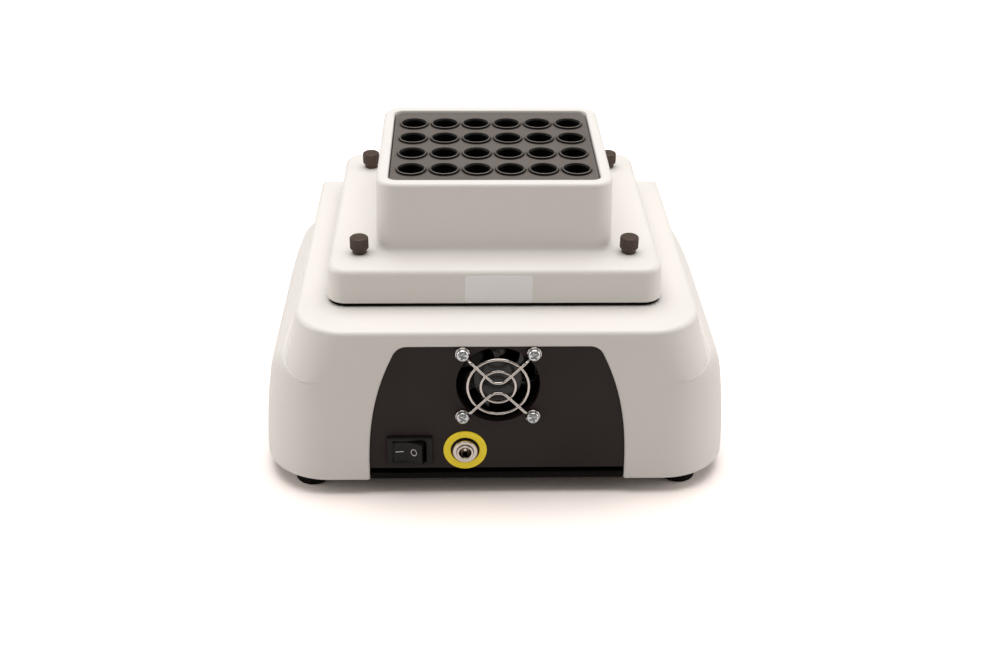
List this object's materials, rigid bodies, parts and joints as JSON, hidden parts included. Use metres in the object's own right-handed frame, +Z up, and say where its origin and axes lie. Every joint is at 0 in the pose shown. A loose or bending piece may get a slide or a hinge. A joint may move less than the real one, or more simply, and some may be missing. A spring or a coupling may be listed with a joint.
{
  "type": "thermal mixer",
  "caption": "Orbital thermal mixer: heated tube block in a white cover on an eccentric drive, rear fan, switch and power inlet.",
  "frame": {"origin": "on the floor under the middle of the housing, level with the undersides of the feet", "axes": "+Z up; the sloped control panel faces -Y, the fan panel with switch and power inlet faces +Y, +X completes the right hand"},
  "size_m": [0.2194, 0.2379, 0.137],
  "materials": {
    "moulded_white": "fine satin texture, warm off-white",
    "moulded_black": "fine matt texture",
    "gloss_black": "smooth moulded, semi-gloss",
    "anodised_block": "dark grey hard-anodised, machined and blasted",
    "machined_aluminium": "machined, clear anodised",
    "zinc_steel": "bright zinc plate",
    "powder_black": "black powder coat",
    "ground_steel": "ground and oiled",
    "chrome_wire": "bright chromed wire",
    "nickel": "nickel plated, turned",
    "yellow_ring": "flat yellow ring",
    "brass_turned": "turned",
    "foot_rubber": "matt black",
    "thumb_black": "black oxide, knurled",
    "motor_can": "black painted can",
    "heater_silicone": "red-brown silicone sheet",
    "label_paper": "printed film, left bare",
    "keypad_film": "textured polyester film, grey-blue",
    "key_grey": "silicone rubber key",
    "window_clear": "clear window, lightly tinted",
    "lcd_module": "liquid-crystal module, dark when off",
    "board_green": "solder mask over glass-fibre board"
  },
  "bodies": {
    "base": {"housing": "moulded_white", "chassis": "powder_black", "chassis_screws": "zinc_steel", "feet": "foot_rubber", "foot_screws": "zinc_steel", "rear_panel": "moulded_black", "fan_frame": "gloss_black", "fan_guard": "chrome_wire", "fan_screws": "nickel", "fan_nuts": "zinc_steel", "switch_body": "gloss_black", "inlet_jack": "nickel", "inlet_nut": "nickel", "inlet_ring": "yellow_ring", "motor_plate": "machined_aluminium", "plate_posts": "zinc_steel", "motor": "motor_can", "main_bearing": "ground_steel", "idler_bearings": "ground_steel", "keypad": "keypad_film", "display_window": "window_clear", "display_module": "lcd_module", "control_board": "board_green", "board_posts": "zinc_steel", "key_switches": "gloss_black"},
    "fan_wheel": {"fan_rotor": "gloss_black"},
    "switch_rocker": {"rocker": "gloss_black"},
    "drive": {"drive_shaft": "ground_steel", "counterweight": "brass_turned"},
    "tray": {"platform": "machined_aluminium", "crank_bearing": "ground_steel", "platform_bushes": "brass_turned", "heating_mat": "heater_silicone", "tube_block": "anodised_block", "block_screws": "zinc_steel", "sensor": "nickel", "block_cover": "moulded_white", "cover_label": "label_paper"},
    "idler_1": {"idler_crank_1": "ground_steel"},
    "idler_2": {"idler_crank_2": "ground_steel"},
    "idler_3": {"idler_crank_3": "ground_steel"},
    "idler_4": {"idler_crank_4": "ground_steel"},
    "thumb_1": {"thumbscrew_1": "thumb_black"},
    "thumb_2": {"thumbscrew_2": "thumb_black"},
    "thumb_3": {"thumbscrew_3": "thumb_black"},
    "thumb_4": {"thumbscrew_4": "thumb_black"},
    "button_1": {"key_1": "key_grey"},
    "button_2": {"key_2": "key_grey"},
    "button_3": {"key_3": "key_grey"},
    "button_4": {"key_4": "key_grey"},
    "button_5": {"key_5": "key_grey"},
    "button_6": {"key_6": "key_grey"},
    "button_7": {"key_7": "key_grey"}
  },
  "joints": [
    {"name": "fan_spin", "type": "hinge", "parent": "base", "child": "fan_wheel", "pos_m": [0, 0.10358, 0.05761], "axis": [0, 0.9982, 0.0593], "continuous": true},
    {"name": "rocker_swing", "type": "hinge", "parent": "base", "child": "switch_rocker", "pos_m": [0.0404, 0.11409, 0.02407], "axis": [0, -0.0593, 0.9982], "range_deg": [0, 22]},
    {"name": "drive_spin", "type": "hinge", "parent": "base", "child": "drive", "pos_m": [0, 0.02, 0.0632], "axis": [0, 0, 1], "continuous": true},
    {"name": "orbit_pin", "type": "hinge", "parent": "drive", "child": "tray", "pos_m": [0.001, 0.02, 0.088], "axis": [0, 0, 1], "continuous": true},
    {"name": "idler_spin_1", "type": "hinge", "parent": "base", "child": "idler_1", "pos_m": [-0.044, -0.006, 0.0632], "axis": [0, 0, 1], "continuous": true},
    {"name": "idler_spin_2", "type": "hinge", "parent": "base", "child": "idler_2", "pos_m": [0.044, -0.006, 0.0632], "axis": [0, 0, 1], "continuous": true},
    {"name": "idler_spin_3", "type": "hinge", "parent": "base", "child": "idler_3", "pos_m": [-0.044, 0.046, 0.0632], "axis": [0, 0, 1], "continuous": true},
    {"name": "idler_spin_4", "type": "hinge", "parent": "base", "child": "idler_4", "pos_m": [0.044, 0.046, 0.0632], "axis": [0, 0, 1], "continuous": true},
    {"name": "thumb_turn_1", "type": "hinge", "parent": "tray", "child": "thumb_1", "pos_m": [-0.0612, -0.0302, 0.1034], "axis": [0, 0, 1], "range_deg": [0, 720]},
    {"name": "thumb_turn_2", "type": "hinge", "parent": "tray", "child": "thumb_2", "pos_m": [0.0632, -0.0302, 0.1034], "axis": [0, 0, 1], "range_deg": [0, 720]},
    {"name": "thumb_turn_3", "type": "hinge", "parent": "tray", "child": "thumb_3", "pos_m": [-0.0612, 0.0702, 0.1034], "axis": [0, 0, 1], "range_deg": [0, 720]},
    {"name": "thumb_turn_4", "type": "hinge", "parent": "tray", "child": "thumb_4", "pos_m": [0.0632, 0.0702, 0.1034], "axis": [0, 0, 1], "range_deg": [0, 720]},
    {"name": "key_press_1", "type": "slide", "parent": "base", "child": "button_1", "axis": [0, 0.6428, -0.766], "range_m": [0, 0.0005], "stiffness_N_per_m": 400, "springref_m": -0.0003},
    {"name": "key_press_2", "type": "slide", "parent": "base", "child": "button_2", "axis": [0, 0.6428, -0.766], "range_m": [0, 0.0005], "stiffness_N_per_m": 400, "springref_m": -0.0003},
    {"name": "key_press_3", "type": "slide", "parent": "base", "child": "button_3", "axis": [0, 0.6428, -0.766], "range_m": [0, 0.0005], "stiffness_N_per_m": 400, "springref_m": -0.0003},
    {"name": "key_press_4", "type": "slide", "parent": "base", "child": "button_4", "axis": [0, 0.6428, -0.766], "range_m": [0, 0.0005], "stiffness_N_per_m": 400, "springref_m": -0.0003},
    {"name": "key_press_5", "type": "slide", "parent": "base", "child": "button_5", "axis": [0, 0.6428, -0.766], "range_m": [0, 0.0005], "stiffness_N_per_m": 400, "springref_m": -0.0003},
    {"name": "key_press_6", "type": "slide", "parent": "base", "child": "button_6", "axis": [0, 0.6428, -0.766], "range_m": [0, 0.0005], "stiffness_N_per_m": 400, "springref_m": -0.0003},
    {"name": "key_press_7", "type": "slide", "parent": "base", "child": "button_7", "axis": [0, 0.6428, -0.766], "range_m": [0, 0.0005], "stiffness_N_per_m": 400, "springref_m": -0.0003}
  ],
  "couplings": [
    {"joint": "orbit_pin", "follows": "drive_spin", "ratio": -1},
    {"joint": "idler_spin_1", "follows": "drive_spin", "ratio": 1},
    {"joint": "idler_spin_2", "follows": "drive_spin", "ratio": 1},
    {"joint": "idler_spin_3", "follows": "drive_spin", "ratio": 1},
    {"joint": "idler_spin_4", "follows": "drive_spin", "ratio": 1}
  ]
}
